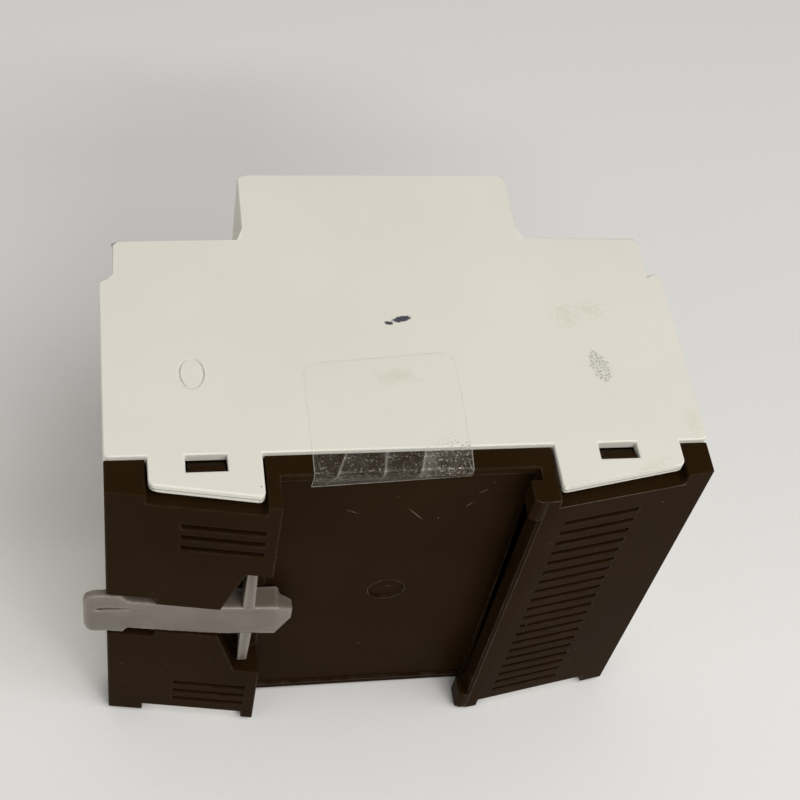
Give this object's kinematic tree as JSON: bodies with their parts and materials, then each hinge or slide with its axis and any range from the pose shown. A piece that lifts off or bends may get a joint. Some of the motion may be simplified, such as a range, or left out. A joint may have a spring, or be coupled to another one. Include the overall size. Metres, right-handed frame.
{
  "type": "din rail control module",
  "caption": "Small programmable control module with a stepped housing, screw terminals on both shoulders, a front port flap and a spring clip for a top-hat rail.",
  "frame": {"origin": "on the rail's centre line, in its seat plane, at the level of the lower side panel", "axes": "+Z along the rail, up as the module lies on its side panel; +Y towards the rail, away from the front; +X towards the clip, which is at the bottom when the rail is level"},
  "size_m": [0.0936, 0.065, 0.0721],
  "materials": {
    "cover_plastic": "fine matt texture, warm light grey",
    "base_plastic": "fine moulded texture, satin black",
    "clip_nylon": "natural nylon, milky",
    "clear_film": "clear adhesive film, slightly yellowed",
    "overlay_film": "fine matt polyester",
    "smoked_window": "smoked, polished",
    "clear_acrylic": "clear, polished",
    "led_lens": "diffused lens",
    "connector_plastic": "moulded, black",
    "gold_plate": "gold plated",
    "tinned_steel": "tinned",
    "button_plastic": "satin",
    "terminal_plastic": "moulded, dark grey",
    "screw_steel": "zinc plated",
    "cage_brass": "nickel plated",
    "tinned_brass": "tinned",
    "board_laminate": "green solder resist",
    "spacer_nylon": "natural nylon",
    "chip_plastic": "moulded epoxy",
    "cell_steel": "polished",
    "relay_plastic": "moulded, blue",
    "ferrite": "sintered",
    "winding_tape": "yellow insulating tape",
    "sleeve_plastic": "shrunk sleeve",
    "opto_plastic": "moulded, off-white",
    "varistor_coating": "epoxy coated",
    "fuse_ceramic": "glazed"
  },
  "bodies": {
    "housing": {"front_cover": "cover_plastic", "rear_base": "base_plastic", "seal_tape": "clear_film", "front_overlay": "overlay_film", "status_window": "smoked_window", "light_pipes": "clear_acrylic", "status_leds": "led_lens", "programming_port": "connector_plastic", "port_pins": "gold_plate", "switch_body": "tinned_steel", "reset_switch": "connector_plastic", "terminal_block_upper": "terminal_plastic", "terminal_block_lower": "terminal_plastic", "terminal_screws_upper": "screw_steel", "terminal_screws_lower": "screw_steel", "clamp_cages_upper": "cage_brass", "clamp_cages_lower": "cage_brass", "terminal_pins_upper": "tinned_brass", "terminal_pins_lower": "tinned_brass", "main_board": "board_laminate", "io_board": "board_laminate", "board_spacers": "spacer_nylon", "board_screws": "screw_steel", "board_header": "connector_plastic", "processor": "chip_plastic", "memory_chips": "chip_plastic", "crystal": "tinned_steel", "cell_holder": "connector_plastic", "coin_cell": "cell_steel", "relays": "relay_plastic", "transformer_core": "ferrite", "transformer_winding": "winding_tape", "capacitors": "sleeve_plastic", "optocouplers": "opto_plastic", "varistor": "varistor_coating", "fuse": "fuse_ceramic"},
    "clip": {"rail_clip": "clip_nylon", "clip_spring": "clip_nylon"},
    "flap": {"port_flap": "cover_plastic"},
    "mode_slider": {"mode_switch": "connector_plastic"},
    "reset_key": {"reset_button": "button_plastic"}
  },
  "joints": [
    {"name": "clip_slide", "type": "slide", "parent": "housing", "child": "clip", "axis": [1, 0, 0], "range_m": [0, 0.0034], "stiffness_N_per_m": 2000, "springref_m": -0.0005, "deforming": ["clip_spring"]},
    {"name": "flap_hinge", "type": "hinge", "parent": "housing", "child": "flap", "pos_m": [0.0177, -0.0567, 0.054], "axis": [0, 0, 1], "range_deg": [0, 95]},
    {"name": "mode_slide", "type": "slide", "parent": "housing", "child": "mode_slider", "axis": [0, 0, 1], "range_m": [-0.0015, 0.0015]},
    {"name": "reset_press", "type": "slide", "parent": "housing", "child": "reset_key", "axis": [0, 1, 0], "range_m": [0, 0.0005], "stiffness_N_per_m": 600, "springref_m": -0.001}
  ]
}
